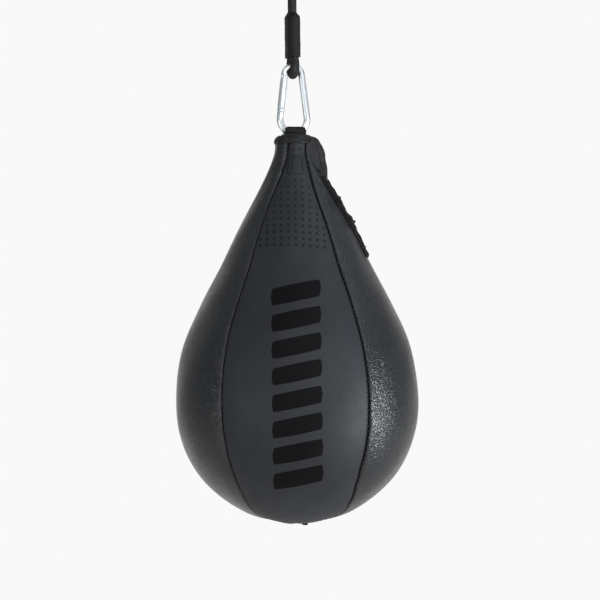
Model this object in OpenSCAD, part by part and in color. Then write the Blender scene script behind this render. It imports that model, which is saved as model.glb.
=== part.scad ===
// Hanging speed bag: a sewn leather bag on a snap hook, a looped cord and a ceiling swivel.
// Origin at the centre of the swivel's seat, +Z up through the stud, front of the bag towards -Y.
// Units are millimetres.

/* [Bag] */

// largest diameter of the bag
bag_diameter = 180; // [150:1:230]

// height from the shoulder to the bottom
bag_height = 289; // [240:1:360]

// thickness of the outer leather
leather = 1.8; // [1.2:0.1:2.4]

// thickness of the cloth lining
lining_wall = 0.6; // [0.4:0.1:1]

// thickness of the rubber bladder
bladder_wall = 1; // [0.8:0.1:1.6]

/* [Lacing] */

// direction of the laced slit, degrees from the front towards +X
slit_azimuth = 87; // [80:1:100]

// width of the laced slit
slit_width = 5; // [3:0.5:8]

// width of each facing beside the slit
facing_width = 8; // [6:0.5:10]

// lace diameter
lace_diameter = 3; // [2:0.2:3]

/* [Cord] */

// cord diameter
cord_diameter = 6.5; // [5:0.5:6.5]

// outer radius of the sleeves
sleeve_radius = 4.6; // [4.4:0.1:5]

/* [Snap hook] */

// wire diameter of the snap hook
wire_diameter = 5; // [4:0.5:5]

// gate bar diameter
gate_diameter = 5.5; // [5:0.1:5.6]

// direction the snap hook's plane is turned about the vertical
hook_turn = 16; // [0:1:30]

/* [Swivel] */

// stud diameter
stud_diameter = 8; // [8:1:8]

// stud length above the seat
stud_length = 25; // [20:1:40]

// wire diameter of the swivel's eye
eye_wire = 5; // [4:0.5:5]

/* [Hidden] */
$fn = 64;

black = [0.08, 0.08, 0.09];
zinc = [0.78, 0.8, 0.82];

shoulder = -200;        // height of the bag's shoulder
eye_z = -39.5;          // lower wire of the swivel's eye
bow_z = -149.4;         // upper wire of the snap hook
foot_z = -198.9;        // lower wire of the snap hook
cord_r = cord_diameter / 2;
wire_r = wire_diameter / 2;
bow_c = -156;           // centre of the snap hook's narrow arc
bow_R = 6.6;
wide_c = -188.45;       // centre of the snap hook's wide arc
wide_R = 10.45;
lean = asin((wide_R - bow_R) / (bow_c - wide_c));

// outline of the bag: depth below the shoulder, radius
outline = [[6.4, 14], [14, 14.8], [25, 19], [37, 24.2], [49, 30.6], [61, 37.5], [73, 44], [85, 50],
  [97, 55.6], [109, 62], [121, 68.4], [133, 74.3], [145, 79.8], [157, 84.2], [170, 87.3], [184, 89.3],
  [198, 90], [211, 89.5], [224, 86.9], [236, 82.8], [247, 77.4], [257, 69.8], [266, 60], [274, 49.5],
  [281, 37.8], [285.6, 26], [288, 13.5], [289, 0]];
last = len(outline) - 1;
function R(t) = lookup(t, outline) * bag_diameter / 180;
function Z(t) = shoulder - t * bag_height / 289;
function P(i) = [R(outline[i][0]), Z(outline[i][0])];
function unit(v) = v / norm(v);
// inward normal of the outline at station i
function inward(i) = i == last ? [0, 1] :
  let (a = unit(P(min(i + 1, last)) - P(max(i - 1, 0)))) [a[1], -a[0]];
function shifted(i, d) = P(i) + d * inward(i);

// section between two depths under the outer skin, from station i0 to i1
module wall_section(d0, d1, i0, i1)
  polygon(concat([for (i = [i0:i1]) shifted(i, d0)], [for (i = [i1:-1:i0]) shifted(i, d1)]));

// piece of the bag's wall between two directions, degrees from the front towards +X
module wall(d0, d1, i0, i1, a0, a1)
  rotate([0, 0, a0 - 90]) rotate_extrude(angle = a1 - a0) wall_section(d0, d1, i0, i1);

// straight round bar between two points, and one with round ends
module bar(p, q, r) {
  d = q - p;
  translate(p) rotate([0, atan2(norm([d[0], d[1]]), d[2]), atan2(d[1], d[0])])
    cylinder(h = norm(d), r = r);
}
module run(pts, r) {
  for (i = [0:len(pts) - 2]) let (p = pts[i], q = pts[i + 1], d = unit(q - p))
    bar(p + (i > 0 ? 0.1 : 0) * d, q - (i < len(pts) - 2 ? 0.1 : 0) * d, r);
  if (len(pts) > 2) for (i = [1:len(pts) - 2]) translate(pts[i]) sphere(r = r + 0.04);
}
// part of a ring in the X-Z plane, from angle a over w degrees
module ring_xz(c, ring_R, r, a, w)
  translate([0, 0, c]) rotate([90, 0, 0]) rotate([0, 0, a]) rotate_extrude(angle = w)
    translate([ring_R, 0]) circle(r = r);
module turned() rotate([0, 0, hook_turn]) children();

// ---- swivel ----
module swivel_housing() color(zinc) difference() {
  union() {
    cylinder(h = stud_length, r = stud_diameter / 2);
    translate([0, 0, -14]) cylinder(h = 12.8, r = 12);
    translate([0, 0, -1.2]) cylinder(h = 1.2, r1 = 12, r2 = 10.8);
  }
  translate([0, 0, -15]) cylinder(h = 12, r = 9.5);
  for (a = [0:30:330]) rotate([0, 0, a]) translate([12.9, 0, -12]) cylinder(h = 9, r = 1.4);
}
module swivel_cap() color(zinc) difference() {
  union() {
    translate([0, 0, -14]) cylinder(h = 3, r = 9.5);
    translate([0, 0, -15]) cylinder(h = 1, r = 12);
    translate([0, 0, -16]) cylinder(h = 1, r1 = 11, r2 = 12);
  }
  translate([0, 0, -17]) cylinder(h = 7, r = 4.07);
}
module swivel_balls() color(zinc) for (a = [0:45:315])
  rotate([0, 0, a]) translate([6.6, 0, -10]) sphere(r = 0.95);
module swivel_eye() color(zinc) turned() {
  translate([0, 0, -9]) cylinder(h = 4, r = 8.6);
  translate([0, 0, -21.5]) cylinder(h = 13, r = 4);
  ring_xz(eye_z + 9, 9, eye_wire / 2, 0, 360);
}

// ---- cord ----
// lower half of the cord: down through the sleeve, round the snap hook and back up
module half_cord() {
  rotate([0, 0, 90]) {
    run([[0, 0, -94.4], [0, 0, -113.5], [-3.3, 0, -120], [-3.3, 0, -140.9], [-4.6, 0, -144.1],
      [-6.05, 0, -148.4], [-6.05, 0, bow_z + 0.1]], cord_r);
    run([[6.05, 0, bow_z + 0.1], [6.05, 0, -148.4], [4.6, 0, -144.1], [3.3, 0, -140.9], [3.3, 0, -120.5]], cord_r);
    ring_xz(bow_z, 6.05, cord_r, 181, 178);
    for (s = [-1, 1]) translate([6.05 * s, 0, bow_z]) sphere(r = cord_r + 0.04);
  }
}
module upper_end() translate([0, 0, eye_z + bow_z]) mirror([0, 0, 1]) children();
module cord() color(black) turned() {
  half_cord();
  upper_end() half_cord();
}
// two side by side strands' outline, widened to radius r
module twin(r) {
  for (s = [-1, 1]) translate([0, 3.3 * s]) circle(r = r);
  square([2 * r, 6.6], center = true);
}
module sleeve() difference() {
  union() {
    translate([0, 0, -142.4]) linear_extrude(30.4) twin(sleeve_radius);
    translate([0, 0, -112.5]) cylinder(h = 2.8, r = 4.1);
  }
  translate([0, 0, -143]) linear_extrude(30) twin(3.95);
  translate([0, 0, -114]) cylinder(h = 5, r = 3.35);
}
module crimp() difference() {
  translate([0, 0, -138]) linear_extrude(14) twin(3.9);
  translate([0, 0, -139]) linear_extrude(16) twin(3.3);
}
module upper_sleeve() color(black) turned() upper_end() sleeve();
module lower_sleeve() color(black) turned() sleeve();
module upper_crimp() color(zinc) turned() upper_end() crimp();
module lower_crimp() color(zinc) turned() crimp();

// ---- snap hook ----
// children are drawn along the gate side: z = 0 at the end of the narrow arc, going down
module gate_side() turned() translate([-bow_R * cos(lean), 0, bow_c + bow_R * sin(lean)])
  rotate([0, lean, 0]) children();
side = sqrt(pow(bow_c - wide_c, 2) - pow(wide_R - bow_R, 2));
pivot = -4;             // rivet, along the gate side
latch = -26;            // latch pin, along the gate side
module hook_frame() color(zinc) {
  turned() {
    ring_xz(bow_c, bow_R, wire_r, lean + 1, 178 - 2 * lean);
    ring_xz(wide_c, wide_R, wire_r, 181 - lean, 178 + 2 * lean);
    translate([bow_R * cos(lean), 0, bow_c + bow_R * sin(lean)]) sphere(r = wire_r + 0.03);
    for (s = [-1, 1]) translate([s * wide_R * cos(lean), 0, wide_c + wide_R * sin(lean)]) sphere(r = wire_r + 0.03);
  }
  turned() translate([bow_R * cos(lean), 0, bow_c + bow_R * sin(lean)]) rotate([0, -lean, 0])
    translate([0, 0, 0.1 - side]) cylinder(h = side - 0.2, r = wire_r);
  gate_side() {
    difference() {
      union() {
        translate([0, 0, -1]) cylinder(h = 1.35, r = wire_r + 0.06);
        translate([-2.2, -1, pivot]) cube([4.4, 2, 3.6]);
        translate([0, 1, pivot]) rotate([90, 0, 0]) cylinder(h = 2, r = 2.2);
      }
      translate([0, 2, pivot]) rotate([90, 0, 0]) cylinder(h = 4, r = 0.9);
    }
    translate([0, 0, 0.1 - side]) cylinder(h = side - 28.3, r = wire_r);
    difference() {
      translate([-2.1, -1, -28.5]) cube([4.2, 2, 5.3]);
      translate([0, 2, latch]) rotate([90, 0, 0]) cylinder(h = 4, r = 1.15);
      translate([0, -2, latch - 1.15]) cube([4, 4, 2.3]);
    }
  }
}
module gate_rivet() color(zinc) gate_side() {
  translate([0, 2.85, pivot]) rotate([90, 0, 0]) cylinder(h = 5.7, r = 0.9);
  for (s = [-1, 1]) translate([0, 3.08 * s, pivot]) rotate([90, 0, 0]) cylinder(h = 0.5, r = 1.5, center = true);
}
module hook_gate() color(zinc) gate_side() difference() {
  union() {
    intersection() {
      translate([0, 0, -27.6]) cylinder(h = 26.2, r = gate_diameter / 2);
      union() {
        translate([-3, -3, -27.6]) cube([6, 6, 27.6 + pivot]);
        translate([0, 3, pivot]) rotate([90, 0, 0]) cylinder(h = 6, r = 2.6);
      }
    }
  }
  translate([-4, -1.08, -6.6]) cube([8, 2.16, 8]);
  translate([-4, -1.08, -28]) cube([8, 2.16, 5.4]);
  translate([0, 4, pivot]) rotate([90, 0, 0]) cylinder(h = 8, r = 0.95);
  translate([0, 0, -14]) cylinder(h = 8, r = 1.25);
  translate([0, 4, latch]) rotate([90, 0, 0]) cylinder(h = 8, r = 0.8);
}
module gate_latch_pin() color(zinc) gate_side()
  translate([0, 2.3, latch]) rotate([90, 0, 0]) cylinder(h = 4.6, r = 0.8);
module gate_plunger() color(zinc) gate_side() {
  translate([0, 0, -8.6]) cylinder(h = 2.2, r = 1);
}
module gate_spring() color(zinc) gate_side() translate([0, 0, -14]) difference() {
  cylinder(h = 5.3, r = 1.1);
  translate([0, 0, -1]) cylinder(h = 8, r = 0.7);
}

// ---- hanging tab and collar ----
tab_w = 16;             // width of the strap
tab_in = 4.4;           // half of the gap between its legs
tab_t = 1.8;
tab_top = foot_z + 4.8;
// room that the snap hook's lower bow takes between the legs
module bow_room() intersection() {
  translate([-9, -tab_in, foot_z]) cube([18, 2 * tab_in, 12]);
  union() for (s = [0, 180]) rotate([0, 0, s]) translate([1.4, 0, foot_z]) rotate([0, 90, 0])
    cylinder(h = 7.6, r1 = 2.8, r2 = 8);
}
module hang_tab() color(black) turned() difference() {
  union() {
    for (s = [-1, 1]) translate([-tab_w / 2, s * (tab_in + tab_t / 2) - tab_t / 2, -209]) cube([tab_w, tab_t, tab_top - 3 + 209]);
    difference() {
      union() {
        translate([-tab_w / 2, -tab_in - tab_t + 3, tab_top - 3]) cube([tab_w, 2 * (tab_in + tab_t - 3), 3]);
        for (s = [-1, 1]) translate([-tab_w / 2, s * (tab_in + tab_t - 3), tab_top - 3]) rotate([0, 90, 0]) cylinder(h = tab_w, r = 3);
      }
      translate([-tab_w, -tab_in, tab_top - 4.5]) cube([2 * tab_w, 2 * tab_in, 2.5]);
      translate([-tab_w, -tab_in - 9, tab_top - 9]) cube([2 * tab_w, 30, 6]);
    }
  }
  bow_room();
}
module tab_stitches() color(black) turned() for (s = [-1, 1], k = [-3:3])
  bar([s * 6.4, -6.42, -197 + k * 0.8], [s * 6.4, -6.42, -196.6 + k * 0.8], 0.2);
module collar() color(black) difference() {
  rotate_extrude() polygon([[0, -204.6], [0, -202.2], [5, -201.4], [9, -200.2], [11, -200.2], [13, -201.4],
    [14.2, -203.6], [14.7, -206.4], [12.2, -206.4], [12.2, -204.6]]);
  turned() {
    translate([-20, -tab_in, -201.9]) cube([40, 2 * tab_in, 4]);
    for (s = [-1, 1]) translate([-tab_w / 2, s * (tab_in + tab_t / 2) - tab_t / 2, -210]) cube([tab_w, tab_t, 12]);
  }
}
module collar_stitches() color(black) translate([0, 0, -205.6]) rotate_extrude() translate([14.8, 0]) circle(r = 0.2);

// ---- bag ----
slit_end = 91;          // depth of the slit's lower end
module slit_room(w) rotate([0, 0, slit_azimuth - 90]) translate([5, -w / 2, Z(slit_end)]) cube([70, w, slit_end + 10]);
module panel(a) wall(0, leather, 0, last, a, a + 72);
module panel_front() color([0.15, 0.15, 0.17]) panel(-37);
module panel_laced() color(black) difference() { panel(35); slit_room(slit_width); }
module panel_rear_right() color(black) panel(107);
module panel_rear_left() color(black) panel(179);
module panel_left() color(black) panel(251);
module seam_threads() color(black) for (k = [0:4]) wall(-0.25, 0, k == 1 ? 5 : 1, last - 2, 34.6 + 72 * k, 35.4 + 72 * k);

// point on the skin, out by d, at depth t and direction a
function skin(t, a, d) = [(R(t) + d) * sin(a), -(R(t) + d) * cos(a), Z(t)];
module strap_stitches() color(black) {
  for (s = [-1, 1]) bar(skin(23, s * 14, 0.75), skin(36, s * 11, 0.75), 0.3);
  bar(skin(37.5, -10, 1.1), skin(37.5, 10, 1.1), 0.3);
}

// local frame of the slit: x outwards, y along the circumference towards the rear
module at_slit() rotate([0, 0, slit_azimuth - 90]) children();
rows = [31, 49, 67, 85];
module facing(s) difference() {
  intersection() {
    wall(-2, 0, 1, 8, slit_azimuth - 58, slit_azimuth + 58);
    at_slit() translate([1, s > 0 ? slit_width / 2 : -slit_width / 2 - facing_width, Z(94)]) cube([75, facing_width, Z(22.5) - Z(94)]);
  }
  at_slit() for (t = rows) translate([2, s * (slit_width / 2 + facing_width / 2), Z(t)]) rotate([0, 90, 0]) cylinder(h = 70, r = 1.3);
}
module facing_front() color(black) facing(-1);
module facing_rear() color(black) facing(1);
function hole(i, s) = [R(rows[i]) + 4, s * (slit_width / 2 + facing_width / 2), Z(rows[i])];
module lace() color(black) at_slit() {
  run([hole(0, -1), hole(0, 1), hole(1, -1), hole(1, 1), hole(2, -1), hole(2, 1), hole(3, -1), hole(3, 1)], lace_diameter / 2);
  for (s = [-1, 1], i = [0:3]) {
    translate(hole(i, s)) sphere(r = lace_diameter / 2);
    translate(hole(i, s) - [3.2, 0, 0]) rotate([0, 90, 0]) cylinder(h = 3.2, r = 1.2);
  }
}
// padded flap that covers the top of the lacing at the neck
module neck_flap() color(black) rotate([0, 0, slit_azimuth - 90 - 38]) rotate_extrude(angle = 76)
  polygon([[15.2, -203], [17.5, -202.2], [19.6, -203.6], [20.7, -207], [21, -212], [21.6, -217], [21.4, -220],
    [20, -221.6], [17.8, -221.4], [15.8, -214.5], [15.2, -207]]);
module lace_tongue() color(black) wall(leather + lining_wall, leather + lining_wall + 0.7, 1, 8, slit_azimuth - 10, slit_azimuth + 10);
module lining() color([0.3, 0.3, 0.3]) difference() {
  rotate_extrude() wall_section(leather, leather + lining_wall, 0, last);
  slit_room(slit_width);
}
bladder_out = 3.4;
module bladder() color([0.2, 0.12, 0.1]) rotate_extrude() {
  wall_section(bladder_out, bladder_out + bladder_wall, 3, last);
  polygon([[0, Z(37) - 1.5], [0, Z(37) - 0.5], shifted(3, bladder_out), shifted(3, bladder_out + bladder_wall)]);
}
module bladder_valve() color([0.2, 0.12, 0.1]) difference() {
  translate([0, 0, Z(37) - 0.5]) cylinder(h = 20, r = 2.6);
  translate([0, 0, Z(37) + 2]) cylinder(h = 20, r = 1.2);
}
module bottom_knot() color(black) translate([4.6, 0, Z(289) - 1.2]) cylinder(h = 1.35, r = 2.4);

swivel_housing();
swivel_cap();
swivel_balls();
swivel_eye();
cord();
upper_sleeve();
lower_sleeve();
upper_crimp();
lower_crimp();
hook_frame();
gate_rivet();
hook_gate();
gate_latch_pin();
gate_plunger();
gate_spring();
hang_tab();
tab_stitches();
collar();
collar_stitches();
panel_front();
panel_left();
panel_rear_left();
panel_rear_right();
panel_laced();
seam_threads();
strap_stitches();
facing_front();
facing_rear();
neck_flap();
lace();
lace_tongue();
lining();
bladder();
bladder_valve();
bottom_knot();
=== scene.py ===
import math
import random

import bpy
import numpy as np
from mathutils import Matrix, Vector


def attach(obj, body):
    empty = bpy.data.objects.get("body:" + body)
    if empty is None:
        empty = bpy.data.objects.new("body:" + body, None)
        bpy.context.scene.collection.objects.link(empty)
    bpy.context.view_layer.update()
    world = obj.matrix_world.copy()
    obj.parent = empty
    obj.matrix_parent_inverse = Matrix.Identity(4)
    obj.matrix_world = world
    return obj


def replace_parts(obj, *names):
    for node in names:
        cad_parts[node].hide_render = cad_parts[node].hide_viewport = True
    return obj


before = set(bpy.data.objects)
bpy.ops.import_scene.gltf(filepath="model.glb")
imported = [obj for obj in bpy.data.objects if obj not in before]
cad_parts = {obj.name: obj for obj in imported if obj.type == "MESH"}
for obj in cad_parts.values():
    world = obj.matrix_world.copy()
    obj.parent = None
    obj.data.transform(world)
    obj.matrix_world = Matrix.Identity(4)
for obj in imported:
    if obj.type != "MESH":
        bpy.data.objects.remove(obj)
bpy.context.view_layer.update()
random.seed(7)
rng = np.random.default_rng(7)
MM = 0.001
scene = bpy.context.scene

# ---------------------------------------------------------------- camera
cam_data = bpy.data.cameras.new("camera")
cam = bpy.data.objects.new("camera", cam_data)
scene.collection.objects.link(cam)
cam_data.sensor_width = 36
cam_data.lens = 129.1
cam_data.clip_end = 50
cam.matrix_world = (
    Matrix.Translation((3.05 * MM, -1600 * MM, -323 * MM))
    @ Matrix.Rotation(math.radians(90), 4, "X")
    @ Matrix.Rotation(math.radians(-0.74), 4, "Z")
)
scene.camera = cam
scene.view_settings.view_transform = "Standard"
scene.view_settings.look = "None"

# ---------------------------------------------------------------- helpers
TURN = math.radians(16)
U = np.array([math.cos(TURN), math.sin(TURN), 0.0])
V = np.array([-math.sin(TURN), math.cos(TURN), 0.0])
SHOULDER = -200.0
SLIT = 87.0
ROWS = [31.0, 49.0, 67.0, 85.0]


def mesh_object(name, verts, faces, smooth=True):
    """Mesh from points in millimetres."""
    me = bpy.data.meshes.new(name)
    me.from_pydata([tuple(float(c) * MM for c in v) for v in verts], [], [tuple(int(i) for i in f) for f in faces])
    me.validate()
    me.update()
    if smooth:
        me.polygons.foreach_set("use_smooth", [True] * len(me.polygons))
    ob = bpy.data.objects.new(name, me)
    scene.collection.objects.link(ob)
    return ob


def grid_faces(nu, nv, wrap=False, start=0, flip=False):
    """Quads of a grid of nv rows with nu points each."""
    out = []
    for j in range(nv - 1):
        for i in range(nu if wrap else nu - 1):
            a = start + j * nu + i
            b = start + j * nu + (i + 1) % nu
            q = (a, b, b + nu, a + nu)
            out.append(q[::-1] if flip else q)
    return out


def attribute(ob, name, values):
    a = ob.data.attributes.new(name, "FLOAT", "POINT")
    a.data.foreach_set("value", np.asarray(values, dtype=np.float32))


def tube(name, path, radius, around=16, close_ends=True, squash_z=1.0):
    """Round tube along a path of points in millimetres; radius is a number or one per point."""
    path = np.asarray(path, float)
    n = len(path)
    rad = np.full(n, radius) if np.isscalar(radius) else np.asarray(radius, float)
    tan = np.gradient(path, axis=0)
    tan /= np.linalg.norm(tan, axis=1)[:, None]
    ref = np.array([1.0, 0.0, 0.0]) if abs(tan[0][0]) < 0.9 else np.array([0.0, 1.0, 0.0])
    nrm = ref - tan[0] * ref.dot(tan[0])
    nrm /= np.linalg.norm(nrm)
    verts = []
    for k in range(n):
        nrm = nrm - tan[k] * nrm.dot(tan[k])
        nrm /= np.linalg.norm(nrm)
        bi = np.cross(tan[k], nrm)
        for i in range(around):
            a = 2 * math.pi * i / around
            verts.append(path[k] + rad[k] * (math.cos(a) * nrm + math.sin(a) * bi))
    faces = grid_faces(around, n, wrap=True)
    if close_ends:
        verts += [path[0], path[-1]]
        c0, c1 = len(verts) - 2, len(verts) - 1
        faces += [(c0, (i + 1) % around, i) for i in range(around)]
        b = (n - 1) * around
        faces += [(c1, b + i, b + (i + 1) % around) for i in range(around)]
    return verts, faces


def merge(parts):
    verts, faces = [], []
    for v, f in parts:
        o = len(verts)
        verts += list(v)
        faces += [tuple(i + o for i in q) for q in f]
    return verts, faces


def spline(points, step):
    """Smooth line through points, one sample about every step millimetres."""
    p = np.asarray(points, float)
    ext = np.vstack([2 * p[0] - p[1], p, 2 * p[-1] - p[-2]])
    out = []
    for i in range(len(p) - 1):
        a, b, c, d = ext[i : i + 4]
        m = max(2, int(math.ceil(np.linalg.norm(c - b) / step)))
        for k in range(m):
            t = k / m
            out.append(0.5 * ((2 * b) + (c - a) * t + (2 * a - 5 * b + 4 * c - d) * t * t + (3 * b - a - 3 * c + d) * t**3))
    out.append(p[-1])
    return np.array(out)


# ---------------------------------------------------------------- materials
def new_mat(name):
    m = bpy.data.materials.new(name)
    m.use_nodes = True
    return m, m.node_tree.nodes, m.node_tree.links, m.node_tree.nodes["Principled BSDF"]


def math_node(nodes, links, op, a, b=None):
    n = nodes.new("ShaderNodeMath")
    n.operation = op
    for i, x in enumerate((a, b)):
        if x is None:
            continue
        if isinstance(x, (int, float)):
            n.inputs[i].default_value = x
        else:
            links.new(x, n.inputs[i])
    return n.outputs[0]


def ramp(nodes, links, fac, stops):
    n = nodes.new("ShaderNodeValToRGB")
    while len(n.color_ramp.elements) < len(stops):
        n.color_ramp.elements.new(0.5)
    for e, (p, c) in zip(n.color_ramp.elements, stops):
        e.position = p
        e.color = (*c, 1) if len(c) == 3 else c
    links.new(fac, n.inputs[0])
    return n.outputs[0]


def coords(nodes):
    return nodes.new("ShaderNodeTexCoord").outputs["Object"]


def noise(nodes, links, co, scale, detail=3, rough=0.5):
    n = nodes.new("ShaderNodeTexNoise")
    n.inputs["Scale"].default_value = scale
    n.inputs["Detail"].default_value = detail
    n.inputs["Roughness"].default_value = rough
    links.new(co, n.inputs["Vector"])
    return n.outputs["Fac"]


def leather(name, dark, light, rough_lo, rough_hi, grain=0.25, pebble=900, spec=0.4, coat=0.0, painted_seam_shade=False, depth=0.00022):
    """Pebble-grained leather: cells with soft edges, fine pores, creases, and uneven polish; with painted_seam_shade,
    painted shade darkens the colour and the reflection along the seams.
    """
    m, nodes, links, bsdf = new_mat(name)
    co = coords(nodes)
    warp = nodes.new("ShaderNodeTexNoise")
    warp.inputs["Scale"].default_value = 260
    links.new(co, warp.inputs["Vector"])
    mixv = nodes.new("ShaderNodeVectorMath")
    mixv.operation = "MULTIPLY_ADD"
    links.new(warp.outputs["Color"], mixv.inputs[0])
    mixv.inputs[1].default_value = (0.0002, 0.0002, 0.0002)
    links.new(co, mixv.inputs[2])
    vor = nodes.new("ShaderNodeTexVoronoi")
    vor.feature = "DISTANCE_TO_EDGE"
    vor.inputs["Scale"].default_value = pebble
    links.new(mixv.outputs[0], vor.inputs["Vector"])
    cells = ramp(nodes, links, vor.outputs["Distance"], [(0.0, (0, 0, 0)), (0.22, (0.8, 0.8, 0.8)), (0.5, (1, 1, 1))])
    fine = noise(nodes, links, co, 2600, 2)
    broad = noise(nodes, links, co, 22, 4, 0.6)
    patch = noise(nodes, links, co, 75, 5, 0.65)
    height = math_node(nodes, links, "ADD", math_node(nodes, links, "MULTIPLY", cells, 0.8), math_node(nodes, links, "MULTIPLY", fine, 0.25))
    b1 = nodes.new("ShaderNodeBump")
    b1.inputs["Strength"].default_value = grain
    b1.inputs["Distance"].default_value = depth
    links.new(height, b1.inputs["Height"])
    b2 = nodes.new("ShaderNodeBump")
    b2.inputs["Strength"].default_value = 0.14
    b2.inputs["Distance"].default_value = 0.0009
    links.new(patch, b2.inputs["Height"])
    links.new(b1.outputs["Normal"], b2.inputs["Normal"])
    links.new(b2.outputs["Normal"], bsdf.inputs["Normal"])
    col = ramp(nodes, links, broad, [(0.3, dark), (0.72, light)])
    pore = nodes.new("ShaderNodeMix")
    pore.data_type = "RGBA"
    pore.blend_type = "MULTIPLY"
    pore.inputs[0].default_value = 0.45
    links.new(col, pore.inputs[6])
    links.new(cells, pore.inputs[7])
    shade = None
    # painted shade in the seam grooves: the attribute from_seam gives millimetres to the nearest seam, and close to a
    # seam the colour is mixed towards near-black and the specular level drops
    if painted_seam_shade:
        at = nodes.new("ShaderNodeAttribute")
        at.attribute_name = "from_seam"
        shade = nodes.new("ShaderNodeMapRange")
        shade.interpolation_type = "SMOOTHSTEP"
        shade.inputs["From Min"].default_value = 0.35
        shade.inputs["From Max"].default_value = 1.5
        shade.inputs["To Min"].default_value = 0.05
        shade.inputs["To Max"].default_value = 1.0
        links.new(at.outputs["Fac"], shade.inputs["Value"])
        seam_shade_mix = nodes.new("ShaderNodeMix")
        seam_shade_mix.data_type = "RGBA"
        links.new(shade.outputs[0], seam_shade_mix.inputs[0])
        # near-black colour of the painted seam shade
        seam_shade_mix.inputs[6].default_value = (0.0005, 0.0005, 0.0006, 1)
        links.new(pore.outputs[2], seam_shade_mix.inputs[7])
        links.new(seam_shade_mix.outputs[2], bsdf.inputs["Base Color"])
        links.new(math_node(nodes, links, "MULTIPLY", shade.outputs[0], spec), bsdf.inputs["Specular IOR Level"])
    else:
        links.new(pore.outputs[2], bsdf.inputs["Base Color"])
    r = nodes.new("ShaderNodeMapRange")
    r.inputs["To Min"].default_value = rough_lo
    r.inputs["To Max"].default_value = rough_hi
    r.inputs["From Min"].default_value = 0.25
    r.inputs["From Max"].default_value = 0.75
    links.new(patch, r.inputs["Value"])
    links.new(r.outputs[0], bsdf.inputs["Roughness"])
    if not painted_seam_shade:
        bsdf.inputs["Specular IOR Level"].default_value = spec
    bsdf.inputs["Coat Weight"].default_value = coat
    bsdf.inputs["Coat Roughness"].default_value = 0.35
    return m


def metal(name, lo, hi, rough_lo, rough_hi, scratch=0.12):
    m, nodes, links, bsdf = new_mat(name)
    co = coords(nodes)
    n1 = noise(nodes, links, co, 240, 5, 0.6)
    n2 = noise(nodes, links, co, 2200, 3)
    links.new(ramp(nodes, links, n1, [(0.25, lo), (0.75, hi)]), bsdf.inputs["Base Color"])
    r = nodes.new("ShaderNodeMapRange")
    r.inputs["To Min"].default_value = rough_lo
    r.inputs["To Max"].default_value = rough_hi
    links.new(n1, r.inputs["Value"])
    links.new(r.outputs[0], bsdf.inputs["Roughness"])
    b = nodes.new("ShaderNodeBump")
    b.inputs["Strength"].default_value = scratch
    b.inputs["Distance"].default_value = 0.00008
    links.new(math_node(nodes, links, "ADD", n1, math_node(nodes, links, "MULTIPLY", n2, 0.5)), b.inputs["Height"])
    links.new(b.outputs["Normal"], bsdf.inputs["Normal"])
    bsdf.inputs["Metallic"].default_value = 1.0
    return m


def rubbery(name, dark, light, rough, bump=0.15, scale=500, spec=0.35):
    m, nodes, links, bsdf = new_mat(name)
    co = coords(nodes)
    n1 = noise(nodes, links, co, scale, 4, 0.6)
    n2 = noise(nodes, links, co, scale / 8, 3)
    links.new(ramp(nodes, links, n2, [(0.3, dark), (0.7, light)]), bsdf.inputs["Base Color"])
    r = nodes.new("ShaderNodeMapRange")
    r.inputs["To Min"].default_value = rough - 0.07
    r.inputs["To Max"].default_value = rough + 0.08
    links.new(n2, r.inputs["Value"])
    links.new(r.outputs[0], bsdf.inputs["Roughness"])
    b = nodes.new("ShaderNodeBump")
    b.inputs["Strength"].default_value = bump
    b.inputs["Distance"].default_value = 0.0002
    links.new(n1, b.inputs["Height"])
    links.new(b.outputs["Normal"], bsdf.inputs["Normal"])
    bsdf.inputs["Specular IOR Level"].default_value = spec
    return m


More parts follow.
